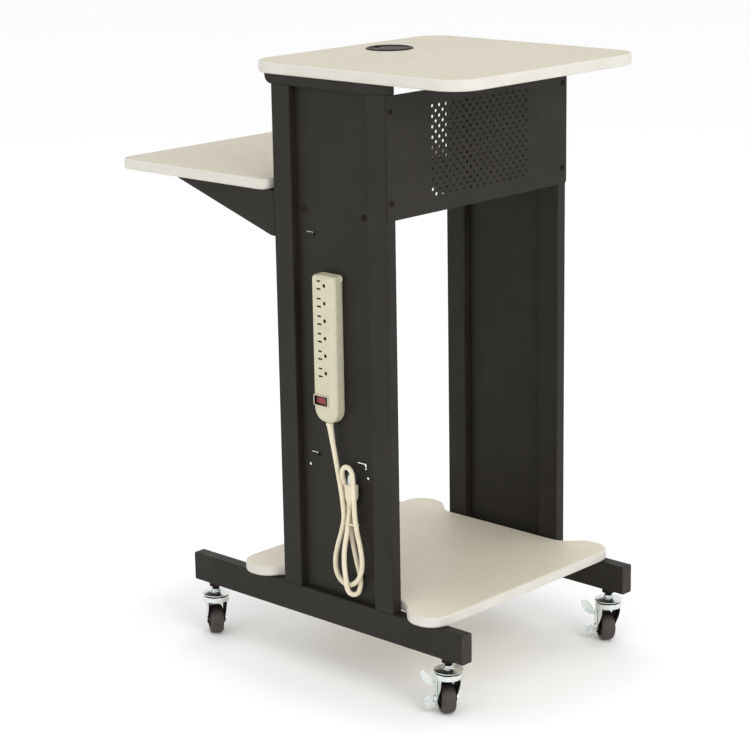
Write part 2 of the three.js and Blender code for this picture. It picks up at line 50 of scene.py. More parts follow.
# levels and sizes that the CAD frame was built to
GAP = 0.3
TUBE_BOTTOM, TUBE_TOP = 99, 149
RAIL_BOTTOM, WORKTOP_BOTTOM, WORKTOP_TOP = 994, 1010, 1029
SIDE_SHELF_BOTTOM, SIDE_SHELF_TOP = 819, 838
HALF_WIDTH, HALF_DEPTH = 223, 125  # of the pair of columns
POST_WIDE, POST_DEEP = 21, 40.5
PANEL_SETBACK, SHEET = 13, 1.5
TUBE_WIDE, TUBE_FRONT, TUBE_REAR = 24, -273, 351
STRIP_FACE, STRIP_BACK = -232.6, -212.6
STRIP_LOW_Y, STRIP_HIGH_Y = -14, 33
STRIP_TOP, STRIP_SHOULDER, STRIP_FOOT = 697, 475, 450
SWITCH_Y, SWITCH_Z = 17, 487.5
GROMMET_X, GROMMET_Y = 22, 90
PANEL_X = -HALF_WIDTH + PANEL_SETBACK  # outer face of the panel that the power strip hangs on
CORD_WIDE = 8.4


def row_origin():
    """Where the middle of the columns stands in the row frame, in metres."""
    low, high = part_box("worktop")
    post_low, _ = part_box("left_front_post")
    return Vector(((low[0] + high[0]) / 2, post_low[1] + HALF_DEPTH * MM, 0))


ORIGIN = row_origin()
HOME = Matrix.Translation(ORIGIN)
SHARP_ANGLE = math.radians(38)  # edges bent more than this stay crisp


def metres(x, y, z):
    """A place in the columns' frame, in millimetres, as a place in the row frame."""
    return ORIGIN + Vector((x, y, z)) * MM


# ------------------------------------------------------------------ materials
def srgb(red, green, blue):
    """A screen colour from 0 to 255 as the linear colour that a shader takes."""
    def linear(c):
        c /= 255
        return c / 12.92 if c <= 0.04045 else ((c + 0.055) / 1.055) ** 2.4
    return (linear(red), linear(green), linear(blue), 1)


class Finish:
    """A material under construction: its nodes, and the few chains that most finishes share."""

    def __init__(self, name):
        self.material = bpy.data.materials.new(name)
        self.material.use_nodes = True
        self.tree = self.material.node_tree
        self.shader = self.tree.nodes["Principled BSDF"]
        self.place = self.node("ShaderNodeTexCoord").outputs["Object"]

    def node(self, kind, **inputs):
        node = self.tree.nodes.new(kind)
        for name, value in inputs.items():
            node.inputs[name.replace("_", " ")].default_value = value
        return node

    def link(self, output, socket):
        self.tree.links.new(output, socket)

    def stretched(self, scale):
        mapping = self.node("ShaderNodeMapping", Scale=scale)
        self.link(self.place, mapping.inputs["Vector"])
        return mapping.outputs["Vector"]

    def noise(self, scale, detail=3.0, roughness=0.5, place=None):
        node = self.node("ShaderNodeTexNoise", Scale=scale, Detail=detail, Roughness=roughness)
        self.link(place or self.place, node.inputs["Vector"])
        return node.outputs["Fac"]

    def ramp(self, value, *stops):
        node = self.node("ShaderNodeValToRGB")
        points = node.color_ramp.elements
        while len(points) < len(stops):
            points.new(0.5)
        for point, (position, color) in zip(points, stops):
            point.position, point.color = position, color
        self.link(value, node.inputs["Fac"])
        return node.outputs["Color"]

    def mixed(self, factor, under, over):
        node = self.node("ShaderNodeMix")
        node.data_type = "RGBA"
        self.link(factor, node.inputs[0])
        self.link(under, node.inputs[6])
        self.link(over, node.inputs[7])
        return node.outputs[2]

    def mapped(self, value, low, high, start=0.3, end=0.7):
        node = self.node("ShaderNodeMapRange", From_Min=start, From_Max=end,
                         To_Min=low, To_Max=high)
        self.link(value, node.inputs["Value"])
        return node.outputs["Result"]

    def paint(self, color):
        self.link(color, self.shader.inputs["Base Color"])

    def gloss(self, value, low, high):
        self.link(self.mapped(value, low, high), self.shader.inputs["Roughness"])

    def relief(self, height, strength, depth_mm):
        bump = self.node("ShaderNodeBump", Strength=strength, Distance=depth_mm * MM)
        self.link(height, bump.inputs["Height"])
        self.link(bump.outputs["Normal"], self.shader.inputs["Normal"])

    def uniform(self, **values):
        """Values that are the same all over, on the shader's own sockets."""
        for name, value in values.items():
            self.shader.inputs[name.replace("_", " ")].default_value = value


def laminate(name, base):
    """Pale laminate with soft clouding, a short grain along X and fine flecks."""
    f = Finish(name)

    def tone(darker):
        return srgb(*(c - darker for c in base))

    cloud = f.ramp(f.noise(7, 4), (0.35, tone(5)), (0.65, tone(-1)))
    along_x = f.stretched((60, 420, 420))
    grain = f.ramp(f.noise(1, 4, 0.6, along_x), (0.4, tone(13)), (0.56, tone(0)))
    fleck = f.ramp(f.noise(1100, 2), (0.36, tone(26)), (0.5, tone(0)))
    streaked = f.mixed(f.mapped(f.noise(90, 3), 0.15, 0.75), cloud, grain)
    f.paint(f.mixed(f.mapped(f.noise(420, 3), 0, 0.5, 0.42, 0.62), streaked, fleck))
    f.gloss(f.noise(60, 3), 0.42, 0.55)
    f.relief(f.noise(1400, 2), 0.12, 0.05)
    return f.material


def board_edge():
    """A paler, whiter colour on a board's rim."""
    f = Finish("board_edge")
    f.paint(f.ramp(f.noise(30, 4), (0.3, srgb(203, 199, 189)), (0.7, srgb(209, 206, 198))))
    f.gloss(f.noise(60, 3), 0.40, 0.52)
    f.relief(f.noise(1400, 2), 0.12, 0.05)
    return f.material


def painted_steel():
    """Powder coat on sheet steel: near-black brown, satin, with a fine orange peel."""
    f = Finish("painted_steel")
    f.paint(f.ramp(f.noise(9, 5), (0.3, srgb(36, 33, 28)), (0.7, srgb(42, 39, 33))))
    f.gloss(f.noise(30, 4), 0.42, 0.54)
    f.relief(f.noise(900, 2), 0.22, 0.06)
    f.uniform(Specular_IOR_Level=0.16)
    return f.material


def dark_plastic(name, shade):
    """Matt moulded plastic, near black or dark brown by its shade from 0 to 255."""
    f = Finish(name)
    tone = (srgb(shade, shade - 3, shade - 5), srgb(shade + 8, shade + 4, shade + 1))
    f.paint(f.ramp(f.noise(40, 3), (0.3, tone[0]), (0.7, tone[1])))
    f.gloss(f.noise(120, 3), 0.32, 0.48)
    f.relief(f.noise(1600, 2), 0.25, 0.05)
    f.uniform(Specular_IOR_Level=0.04)
    return f.material


def cream_plastic(name, base, grain, gloss):
    """Moulded vinyl or housing plastic, a little uneven in tone."""
    f = Finish(name)
    darker = srgb(*(c - 9 for c in base))
    f.paint(f.ramp(f.noise(55, 4), (0.3, darker), (0.7, srgb(*base))))
    f.gloss(f.noise(90, 3), gloss, gloss + 0.12)
    f.relief(f.noise(grain, 2), 0.2, 0.05)
    f.uniform(Subsurface_Weight=0.05, Subsurface_Scale=0.002)
    return f.material


def red_plastic():
    """Translucent red rocker with a painted glow: brighter in the middle, darker towards its ends."""
    f = Finish("rocker_red")
    middle = metres(STRIP_FACE, SWITCH_Y, SWITCH_Z)
    spread = Vector((60, 75, 120))  # one over the glow's reach in metres, each way
    shift = [-c * k for c, k in zip(middle, spread)]
    near = f.node("ShaderNodeMapping", Scale=spread, Location=shift)
    f.link(f.place, near.inputs["Vector"])
    glow = f.node("ShaderNodeTexGradient")
    glow.gradient_type = "SPHERICAL"
    f.link(near.outputs["Vector"], glow.inputs["Vector"])
    # painted glow: the red is brighter round the rocker's middle and darker towards its ends
    painted_glow = f.ramp(glow.outputs["Fac"], (0.02, srgb(46, 7, 8)), (0.75, srgb(152, 24, 24)))
    speck = f.ramp(f.noise(300, 3), (0.35, srgb(60, 8, 9)), (0.6, srgb(120, 18, 18)))
    f.paint(f.mixed(f.mapped(f.noise(160, 2), 0, 0.4), painted_glow, speck))
    f.gloss(f.noise(200, 2), 0.16, 0.28)
    f.relief(f.noise(500, 2), 0.1, 0.05)
    return f.material


def zinc_plate():
    """Bright zinc plating with faint blue and straw tints."""
    f = Finish("zinc_plate")
    tint = f.ramp(f.noise(70, 4, 0.6), (0.3, srgb(196, 212, 212)), (0.5, srgb(228, 232, 230)),
                  (0.75, srgb(216, 217, 208)))
    f.paint(tint)
    f.gloss(f.noise(220, 4), 0.16, 0.34)
    f.relief(f.noise(700, 3), 0.15, 0.04)
    f.uniform(Metallic=1.0)
    return f.material


def wheel_rubber():
    """Brown-grey tread rubber with a dusty, slightly scuffed surface."""
    f = Finish("wheel_rubber")
    f.paint(f.ramp(f.noise(150, 5, 0.6), (0.3, srgb(52, 45, 43)), (0.7, srgb(68, 60, 57))))
    f.gloss(f.noise(200, 3), 0.5, 0.72)
    f.relief(f.noise(900, 3), 0.35, 0.08)
    return f.material


def floor_white():
    """The studio floor: almost white, matt and nearly even."""
    f = Finish("floor_white")
    f.paint(f.ramp(f.noise(0.6, 2), (0.3, (0.975, 0.975, 0.98, 1)), (0.7, (0.98, 0.98, 0.98, 1))))
    f.uniform(Roughness=0.9, Specular_IOR_Level=0.1)
    return f.material


LAMINATE = laminate("laminate", (192, 186, 166))
# The base shelf is nearly as pale as the worktop in the photograph. Less light reaches it in
# this studio, so its finish is lighter.
LOWER_LAMINATE = laminate("lower_laminate", (221, 213, 194))
EDGE = board_edge()
STEEL = painted_steel()
BLACK = dark_plastic("dark_plastic", 34)
CAP = dark_plastic("cap_plastic", 58)
BROWN = dark_plastic("grommet_plastic", 52)
# Near black: the wheels' real hub colour, and painted shade inside the forks, on the caster stems, in
# the outlet holes and in the well behind the rocker.
NEAR_BLACK_AND_SHADE = dark_plastic("near_black_and_painted_shade", 14)
HOUSING = cream_plastic("strip_plastic", (201, 196, 171), 1500, 0.34)
VINYL = cream_plastic("cord_vinyl", (226, 215, 189), 1200, 0.42)
RED = red_plastic()
ZINC = zinc_plate()
RUBBER = wheel_rubber()


# ------------------------------------------------------------------ outlines, in millimetres
def arc(x, y, radius, start, end, steps):
    """Points round (x, y) from one angle to another, in degrees, both ends included."""
    turns = (math.radians(start + (end - start) * i / steps) for i in range(steps + 1))
    return [(x + radius * math.cos(a), y + radius * math.sin(a)) for a in turns]


def circle(x, y, radius, steps):
    return arc(x, y, radius, 0, 360, steps)[:-1]


def rounded(x0, x1, y0, y1, radius, steps=6):
    """A rectangle with round corners."""
    return (
        arc(x1 - radius, y1 - radius, radius, 0, 90, steps)
        + arc(x0 + radius, y1 - radius, radius, 90, 180, steps)
        + arc(x0 + radius, y0 + radius, radius, 180, 270, steps)
        + arc(x1 - radius, y0 + radius, radius, 270, 360, steps)
    )


def rectangle(x0, x1, y0, y1):
    return [(x0, y0), (x1, y0), (x1, y1), (x0, y1)]


def bend(start, control, end, steps=8):
    """Points of a quadratic curve, without its first."""
    points = []
    for i in range(1, steps + 1):
        t = i / steps
        a, b, c = (1 - t) ** 2, 2 * t * (1 - t), t * t
        points.append(tuple(a * p + b * q + c * r for p, q, r in zip(start, control, end)))
    return points


def tilted_oval(x, y, long, short, lean, half_turn, steps):
    """Points round an oval that leans by some degrees, left open at its foot."""
    tilt = math.radians(lean)
    points = []
    for i in range(steps + 1):
        a = math.radians(-half_turn + 2 * half_turn * i / steps)
        along, across = long * math.cos(a), short * math.sin(a)
        points.append((x + along * math.cos(tilt) - across * math.sin(tilt),
                       y + along * math.sin(tilt) + across * math.cos(tilt)))
    return points


# ------------------------------------------------------------------ meshes, in metres
LYING = Matrix.Identity(4)  # drawn in X and Y, thick along Z
SIDEWAYS = Matrix(((0, 0, 1, 0), (1, 0, 0, 0), (0, 1, 0, 0), (0, 0, 0, 1)))  # Y and Z, along X
FACING = Matrix(((1, 0, 0, 0), (0, 0, -1, 0), (0, 1, 0, 0), (0, 0, 0, 1)))  # X and Z, along -Y


def slab(outline, low, high, edge, holes=(), turn=LYING, steps=2):
    """A flat outline with any holes, given thickness from low to high, its edges rounded."""
    curve = bpy.data.curves.new("slab", "CURVE")
    curve.dimensions = "2D"
    curve.fill_mode = "BOTH"
    for ring in (outline, *holes):
        spline = curve.splines.new("POLY")
        spline.points.add(len(ring) - 1)
        for point, (x, y) in zip(spline.points, ring):
            point.co = (x * MM, y * MM, 0, 1)
        spline.use_cyclic_u = True
    curve.bevel_depth = edge * MM
    curve.bevel_resolution = steps
    curve.offset = -edge * MM
    curve.extrude = ((high - low) / 2 - edge) * MM
    source = bpy.data.objects.new("slab", curve)
    mesh = bpy.data.meshes.new_from_object(source)
    bpy.data.objects.remove(source)
    mesh.transform(turn @ Matrix.Translation((0, 0, (low + high) / 2 * MM)))
    return mesh


def welded(bm):
    """The finished mesh, its seams merged and its faces turned outwards."""
    bmesh.ops.remove_doubles(bm, verts=bm.verts, dist=1e-6)
    bmesh.ops.recalc_face_normals(bm, faces=bm.faces)
    mesh = bpy.data.meshes.new("shape")
    bm.to_mesh(mesh)
    bm.free()
    return mesh


def turned(profile, steps):
    """A profile of (radius, height) pairs turned round the Z axis."""
    bm = bmesh.new()
    rings = []
    for radius, height in profile:
        rings.append([bm.verts.new((x * MM, y * MM, height * MM))
                      for x, y in circle(0, 0, max(radius, 1e-4), steps)])
    for lower, upper in zip(rings, rings[1:]):
        for i in range(steps):
            j = (i + 1) % steps
            bm.faces.new((lower[i], lower[j], upper[j], upper[i]))
    bmesh.ops.remove_doubles(bm, verts=bm.verts, dist=2e-6)
    bmesh.ops.dissolve_degenerate(bm, edges=bm.edges, dist=1e-7)
    return welded(bm)


def lofted(rings):
    """A closed skin over rings of the same number of 3-D points, with flat ends."""
    bm = bmesh.new()
    rows = [[bm.verts.new(Vector(p) * MM) for p in ring] for ring in rings]
    count = len(rows[0])
    for lower, upper in zip(rows, rows[1:]):
        for i in range(count):
            j = (i + 1) % count
            bm.faces.new((lower[i], lower[j], upper[j], upper[i]))
    bm.faces.new(rows[0])
    bm.faces.new(rows[-1])
    return welded(bm)


def moved(mesh, x, y, z):
    """The same mesh, shifted by so many millimetres."""
    mesh.transform(Matrix.Translation(Vector((x, y, z)) * MM))
    return mesh


def painted(mesh, index):
    """Gives every face of a mesh the piece's material of that number."""
    for face in mesh.polygons:
        face.material_index = index
    return mesh


def joined(meshes):
    """One mesh of them all, each face keeping its material number."""
    bm = bmesh.new()
    for mesh in meshes:
        bm.from_mesh(mesh)
    result = bpy.data.meshes.new("joined")
    bm.to_mesh(result)
    bm.free()
    return result


def carved(mesh, *cutters):
    """The mesh with the cutters' volumes taken away."""
    body = bpy.data.objects.new("body", mesh)
    tool = bpy.data.objects.new("tool", joined(cutters))
    for item in (body, tool):
        bpy.context.scene.collection.objects.link(item)
    cut = body.modifiers.new("cut", "BOOLEAN")
    cut.operation, cut.solver, cut.object = "DIFFERENCE", "EXACT", tool
    seen = body.evaluated_get(bpy.context.evaluated_depsgraph_get())
    result = bpy.data.meshes.new_from_object(seen)
    for item in (body, tool):
        bpy.data.objects.remove(item)
    return result


def piece(name, meshes, materials, nodes=(), body="frame", home=HOME):
    """One visible piece: its meshes joined, placed, smoothed and tied to its body, with the CAD nodes
    that it stands for hidden.
    """
    mesh = joined(meshes)
    mesh.transform(home)
    for material in materials:
        mesh.materials.append(material)
    for face in mesh.polygons:
        face.use_smooth = True
    mesh.set_sharp_from_angle(angle=SHARP_ANGLE)
    item = bpy.data.objects.new(name, mesh)
    bpy.context.scene.collection.objects.link(item)
    normals = item.modifiers.new("flat faces stay flat", "WEIGHTED_NORMAL")
    normals.keep_sharp = True
    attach(item, body)
    if nodes:
        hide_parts(*nodes)
    return item


# ------------------------------------------------------------------ boards
BOARD_EDGE, BOARD_SIDE = 4, 228.5


def board(name, outline, low, high, node, holes=(), top=LAMINATE):
    """A laminate board whose soft rim takes the paler edge colour."""
    mesh = slab(outline, low, high, BOARD_EDGE, holes, steps=4)
    for face in mesh.polygons:
        level = abs(face.normal.z) > 0.8
        face.material_index = 0 if level else 1
    piece(name, [mesh], [top, EDGE], [node])


def worktop():
    """A square board with broad corners and the grommet's bore."""
    front, rear, corner = -281, 176, 50
    outline = rounded(-BOARD_SIDE, BOARD_SIDE, front, rear, corner, 14)
    bore = circle(GROMMET_X, GROMMET_Y, 35.3, 48)
    board("worktop_board", outline, WORKTOP_BOTTOM, WORKTOP_TOP, "worktop", [bore])


def side_shelf():
    """The shelf that stands out behind the columns."""
    front, rear, corner = 138, 500, 22
    outline = rounded(-BOARD_SIDE, BOARD_SIDE, front, rear, corner, 10)
    board("side_shelf_board", outline, SIDE_SHELF_BOTTOM, SIDE_SHELF_TOP, "side_shelf")


def base_shelf():
    """A notch for each column swings out in an S-curve over the base tubes to round lobes."""
    wide, deep, notch, radius = 236, 228, 199.5, 38
    notch_end, lobe_start, pull, thick = 118, 184, 17, 18
    middle = ((notch + wide) / 2, (notch_end + lobe_start) / 2)
    corner = [(notch, notch_end)]
    corner += bend(corner[-1], (notch, notch_end + pull), middle)
    corner += bend(middle, (wide, lobe_start - pull), (wide, lobe_start))
    corner += arc(wide - radius, deep - radius, radius, 0, 90, 12)
    outline = []
    for sx, sy in ((1, 1), (-1, 1), (-1, -1), (1, -1)):
        part = [(sx * x, sy * y) for x, y in corner]
        outline += part if sx == sy else part[::-1]
    board("base_shelf_board", outline, TUBE_TOP + GAP, TUBE_TOP + thick, "base_shelf",
          top=LOWER_LAMINATE)


# ------------------------------------------------------------------ painted steel
def columns():
    """Two box-section posts and a top rail on each side."""
    for side, x0 in (("left", -HALF_WIDTH), ("right", HALF_WIDTH - POST_WIDE)):
        for end, y0 in (("front", -HALF_DEPTH), ("rear", HALF_DEPTH - POST_DEEP)):
            outline = rounded(x0, x0 + POST_WIDE, y0, y0 + POST_DEEP, 2.2)
            tube = slab(outline, TUBE_TOP + GAP, RAIL_BOTTOM - GAP, 0.3)
            name = f"{side}_{end}_post"
            piece(f"{name}_skin", [tube], [STEEL], [name])
        top_rail(side, x0)


def top_rail(side, x0):
    """A flat rail under the worktop, flared up at its rear end."""
    radius = 14
    high = WORKTOP_BOTTOM - GAP
    outline = [(-HALF_DEPTH, high), (-HALF_DEPTH, RAIL_BOTTOM)]
    outline += arc(HALF_DEPTH, RAIL_BOTTOM + radius, radius, -90, 0, 8)
    outline += [(HALF_DEPTH + radius, high)]
    rail = slab(outline, x0, x0 + POST_WIDE, 0.7, turn=SIDEWAYS)
    piece(f"{side}_top_rail_skin", [rail], [STEEL], [f"{side}_top_rail"])


def hook(y, z):
    """A cord hook pressed out of the panel: a shelf and an upturned edge, bent from one strip."""
    out, thick, lip, half_wide = 3, 1.2, 5, 10
    inner = [(PANEL_X + 0.4, z), (PANEL_X - out + 1.6, z), (PANEL_X - out + thick, z + 0.4),
             (PANEL_X - out + thick, z + lip)]
    outer = [(PANEL_X - out, z + lip), (PANEL_X - out, z + 0.4), (PANEL_X - out + 0.5, z - 0.7),
             (PANEL_X - out + 1.5, z - thick), (PANEL_X + 0.4, z - thick)]
    return slab(inner + outer, -y - half_wide, -y + half_wide, 0.2, turn=FACING)


def bolt_head(y, z):
    """A dark button head standing on the panel's outer face."""
    radius = 5
    profile = [(radius, 0), (radius, 0.9), (radius * 0.86, 1.9), (radius * 0.5, 2.7),
               (1.6, 2.9), (1.5, 1.7), (0, 1.7)]
    head = turned(profile, 28)
    head.transform(Matrix.Rotation(math.radians(-90), 4, "Y"))
    return painted(moved(head, PANEL_X, y, z), 1)


HOOKS = ((56, 754), (56, 383.5), (-48, 383.5))  # Y and Z on the left panel
BOLT_LEVEL, BOLTS = 795, (67, -63)


def panel_openings():
    """The window that each hook was pressed from, L-shaped at the last, and two round holes."""
    left, right = 6.6, 9.6
    openings = [rectangle(y - left, y + right, z + 0.3, z + 5) for y, z in HOOKS[:2]]
    y, z = HOOKS[2]
    openings.append([(y - 11, z - 5), (y - 7.8, z - 5), (y - 7.8, z + 0.3), (y + right, z + 0.3),
                     (y + right, z + 5.4), (y - 11, z + 5.4)])
    return openings + [circle(y, 365, 2.4, 12) for y in (68.7, -62)]


def panels():
    """A sheet between the posts of each column. The left one carries the hooks and bolts."""
    half = HALF_DEPTH - POST_DEEP - GAP
    plate = rectangle(-half, half, TUBE_TOP + GAP, RAIL_BOTTOM - GAP)
    sheet = slab(plate, PANEL_X, PANEL_X + SHEET, 0.2, panel_openings(), SIDEWAYS, 1)
    parts = [sheet, *(hook(y, z) for y, z in HOOKS), *(bolt_head(y, BOLT_LEVEL) for y in BOLTS)]
    piece("left_panel_sheet", parts, [STEEL, BLACK], ["left_panel"])
    x0 = HALF_WIDTH - POST_WIDE + PANEL_SETBACK
    sheet = slab(plate, x0, x0 + SHEET, 0.2, (), SIDEWAYS, 1)
    piece("right_panel_sheet", [sheet], [STEEL], ["right_panel"])


def modesty_panel():
    """The sheet on the audience's side, with a field of staggered round holes."""
    half, bottom, top, corner = HALF_WIDTH - 0.5, 797.5, RAIL_BOTTOM - GAP, 6
    outline = arc(half - corner, bottom + corner, corner, -90, 0, 5)
    outline += [(half, top), (-half, top)]
    outline += arc(-half + corner, bottom + corner, corner, 180, 270, 5)
    pitch, rise, first, highest, radius = 8.28, 16.56, -116, 967, 2.75
    columns_of_holes, rows = 29, 9
    holes = [
        circle(first + column * pitch, highest - rise * row - (column % 2) * rise / 2, radius, 12)
        for column in range(columns_of_holes) for row in range(rows)
    ]
    front = HALF_DEPTH + GAP
    sheet = slab(outline, front, front + SHEET, 0.2, holes, FACING, 1)
    piece("modesty_panel_sheet", [sheet], [STEEL], ["modesty_panel"])


def panel_screws():
    """Pan heads with a cross recess."""
    across, long, short = 212.5, 2.3, 0.45
    head = turned([(0, 0), (4.5, 0), (4.5, 0.7), (4.1, 1.5), (3, 2.2), (1.6, 2.5), (0, 2.6)], 28)
    for a, b in ((long, short), (short, long)):
        head = carved(head, slab(rectangle(-a, a, -b, b), 1.1, 4, 0.05))
    head.transform(FACING)
    for side, x in (("left", -across), ("right", across)):
        for level, z in (("upper", 968), ("lower", 825)):
            name = f"{side}_{level}_panel_screw"
            shape = moved(head.copy(), x, -HALF_DEPTH - SHEET - 2 * GAP, z)
            piece(f"{name}_head", [shape], [BLACK], [name])


def shelf_brackets():
    """A tapering web on each side, with a flange under the shelf and one against the post."""
    front, tip, low, high = HALF_DEPTH + GAP, 356, 745, SIDE_SHELF_BOTTOM - GAP
    outer, inner = HALF_WIDTH - 0.5, HALF_WIDTH - POST_WIDE
    web = [(front, low), (front + 8, low), (tip, high - 1.5), (tip, high), (front, high)]
    for side, sign in (("left", -1), ("right", 1)):
        def across(a, b):
            return sorted((sign * a, sign * b))

        flange = rectangle(*across(inner, outer - 1), front, tip - 20)
        back = rectangle(*across(inner, outer - 1), low, high)
        parts = [
            slab(web, *across(outer - 2, outer), 0.4, turn=SIDEWAYS),
            slab(flange, high - 2, high, 0.4),
            slab(back, -front - 2, -front, 0.4, turn=FACING),
        ]
        name = f"{side}_shelf_bracket"
        piece(f"{name}_sheet", parts, [STEEL], [name])


def base_tubes():
    """A box-section foot under each column, with a plastic cap in each end."""
    cap = 2
    for side, x0 in (("left", -HALF_WIDTH), ("right", HALF_WIDTH - TUBE_WIDE)):
        outline = rounded(x0, x0 + TUBE_WIDE, TUBE_BOTTOM, TUBE_TOP, 2.2)
        tube = slab(outline, -TUBE_REAR + cap, -TUBE_FRONT - cap, 0.3, turn=FACING)
        piece(f"{side}_base_tube_skin", [tube], [STEEL], [f"{side}_base_tube"])
        for end, low, high in (("front", -TUBE_FRONT - cap + GAP, -TUBE_FRONT),
                               ("rear", -TUBE_REAR, -TUBE_REAR + cap - GAP)):
            cover = slab(outline, low, high, 0.7, turn=FACING)
            name = f"{side}_{end}_tube_cap"
            piece(f"{name}_cover", [cover], [CAP], [name])


# ------------------------------------------------------------------ grommet
def grommet():
    """A flanged sleeve in the worktop's bore, and the cap with a cable notch that lifts out."""
    top = WORKTOP_TOP
    low = WORKTOP_BOTTOM - 4
    sleeve = [(33, low), (34.8, low), (35, low + 0.4), (35, top + GAP), (39.6, top + GAP),
              (40, top + 0.7), (39.4, top + 1.5), (37.5, top + 2.2), (34.5, top + 2.3),
              (33.3, top + 1.9), (33, top + 1.3), (33, low)]
    shape = moved(turned(sleeve, 64), GROMMET_X, GROMMET_Y, 0)
    piece("grommet_sleeve_ring", [shape], [BLACK], ["grommet_sleeve"])
    cap = [(0, top - 2.5), (31.6, top - 2.5), (32.4, top - 1.7), (32.4, top + 0.4),
           (31.8, top + 1.1), (30.6, top + 1.3), (29.4, top + 0.6), (28.6, top + 0.4),
           (0, top + 0.4)]
    notch = slab(rounded(-7, 7, 22.4, 40, 3), top - 6, top + 6, 0.1)
    shape = moved(carved(turned(cap, 64), notch), GROMMET_X, GROMMET_Y, 0)
    piece("grommet_cap_disc", [shape], [BROWN], ["grommet_cap"],
          "grommet_cap")


# ------------------------------------------------------------------ casters
WHEEL_RADIUS, TRAIL, HEADING = 25.4, 15, 55
CROWN_RADIUS, CROWN_BOTTOM, CROWN_TOP, NUT_TOP = 23, 66.5, 77.8, 92.7
FORK_INNER, FORK_SHEET = 13.5, 2.5
CASTER_INSET = 39.5  # from the end of the base tube


def caster_plate():
    """A thin round plate with a low dome, a washer, a hex nut and the bolt's stem, near black as
    painted shade in the gap under the tube.
    """
    low = CROWN_TOP + GAP
    dome = [(0, low), (22, low), (23.5, low + 0.3), (24, low + 1), (24, low + 1.7),
            (23.4, low + 2.2), (20.5, low + 2.5), (16.5, low + 3.4), (13.4, low + 4.2),
            (11, low + 4.5), (10.6, low + 5), (9.6, low + 5.4), (9.3, low + 6.2), (0, low + 6.2)]
    nut = slab(circle(0, 0, 7.9, 6), low + 6, low + 9.8, 0.6)
    # painted shade: the stem is near black, for the shaded gap under the tube
    stem = turned([(0, low + 9), (5.6, low + 9), (6.4, NUT_TOP - 2), (8, NUT_TOP),
                   (0, NUT_TOP)], 28)
    return joined([turned(dome, 56), nut, painted(stem, 1)])


LEG_ROWS = (  # level, front and rear edge along the trail
    (70, -17.2, 17.2), (67.5, -17, 17.2), (65, -16.6, 17.6), (62, -15.8, 18.2), (59, -15, 18.7),
    (56, -14, 19.2), (50, -10.4, 20.4), (44, -5.6, 21.6), (38, -0.4, 22.6), (32, 4, 23.2),
    (27, 6.8, 23.2), (22.5, 7.8, 22.6), (19.4, 10, 20.4), (17.6, 13, 17.2),
)


def fork_leg(side):
    """A leg that hangs from the crown's rim and narrows to a round end below the axle."""
    flat, thick, steps = FORK_INNER + FORK_SHEET, 2.2, 8
    flat_below, blend = 57, 10
    rings = []
    for level, front, rear in LEG_ROWS:
        t = min(1.0, max(0.0, (level - flat_below) / blend))
        follow = t * t * (3 - 2 * t)
        outer = []
        for i in range(steps + 1):
            along = front + (rear - front) * i / steps
            round_rim = math.sqrt(max(0.0, CROWN_RADIUS * CROWN_RADIUS - along * along))
            outer.append((along, flat + (round_rim - flat) * follow))
        inner = [(along, out - thick) for along, out in reversed(outer)]
        rings.append([(along, side * out, level) for along, out in outer + inner])
    shape = lofted(rings)
    # painted shade: the legs' inner faces take the near-black material
    for face in shape.polygons:
        outward = face.normal.y * side > 0.2
        face.material_index = 0 if outward else 1
    return shape


def painted_shade_plate():
    """A plate of near-black painted shade across the fork, just over the top of the wheel."""
    half, foot, high, shoulder, sill = 15.2, 12, CROWN_BOTTOM + 1, 58, 51.8
    near, far = 16.2, 17.4
    outline = [(-half, high), (-half, shoulder), (-foot, sill), (foot, sill), (half, shoulder),
               (half, high)]
    return slab(outline, near, far, 0.3, turn=SIDEWAYS)


def caster_fork():
    """Pressed crown over the ball race, with a leg on each side of the wheel. Its inside is near-black
    painted shade: the race, the crown's underside, the legs' inner faces and a plate over the wheel.
    """
    low, high, rim, mouth = CROWN_BOTTOM, CROWN_TOP, CROWN_RADIUS, 21
    crown = turned([(mouth, low), (22.4, low), (rim, low + 0.6), (rim, high - 3),
                    (22.7, high - 2.4), (21.6, high - 2)], 56)
    race = turned([(21.6, high - 2), (20.6, high - 1.6), (20.6, high), (0, high)], 56)
    inside = turned([(mouth, low), (mouth, low + 1.5), (0, low + 1.5)], 56)
    # painted shade: the race, the crown's underside and the plate over the wheel take the near-black
    # material
    dark = [painted(mesh, 1) for mesh in (race, inside, painted_shade_plate())]
    return joined([crown, *dark, fork_leg(1), fork_leg(-1)])


def caster_wheel():
    """A tread with soft shoulders round a dished hub."""
    half = 12
    tread = [(17.5, -half + 1), (18.6, -half + 0.2), (21.6, -half + 0.4), (23.4, -half + 1.5),
             (24.6, -half + 3), (WHEEL_RADIUS, -half + 5), (WHEEL_RADIUS, half - 5),
             (24.6, half - 3), (23.4, half - 1.5), (21.6, half - 0.4), (18.6, half - 0.2),
             (17.5, half - 1)]
    hub = [(3.5, -half), (6.4, -half), (7, -half + 0.8), (7.4, -half + 3), (15.8, -half + 3.4),
           (17.5, -half + 1), (17.5, half - 1), (15.8, half - 3.4), (7.4, half - 3),
           (7, half - 0.8), (6.4, half), (3.5, half), (3.5, -half)]
    wheel = joined([turned(tread, 64), painted(turned(hub, 64), 1)])
    wheel.transform(FACING)
    return moved(wheel, TRAIL, 0, WHEEL_RADIUS)


def caster_axle(braked):
    """A bolt head outside one leg and a nut outside the other."""
    near = FORK_INNER + FORK_SHEET + GAP
    far = near + 2 + GAP if braked else near
    shaft = turned([(0, -near), (3, -near), (3, far), (0, far)], 20)
    nut = slab(circle(0, 0, 5.6, 6), -near - 2.5, -near, 0.5)
    head = turned([(0, far), (5.5, far), (5.5, far + 1.4), (4.6, far + 2.6), (2.6, far + 3),
                   (0, far + 3)], 24)
    axle = joined([shaft, nut, head])
    axle.transform(Matrix.Rotation(math.radians(-90), 4, "X"))
    return moved(axle, TRAIL, 0, WHEEL_RADIUS)


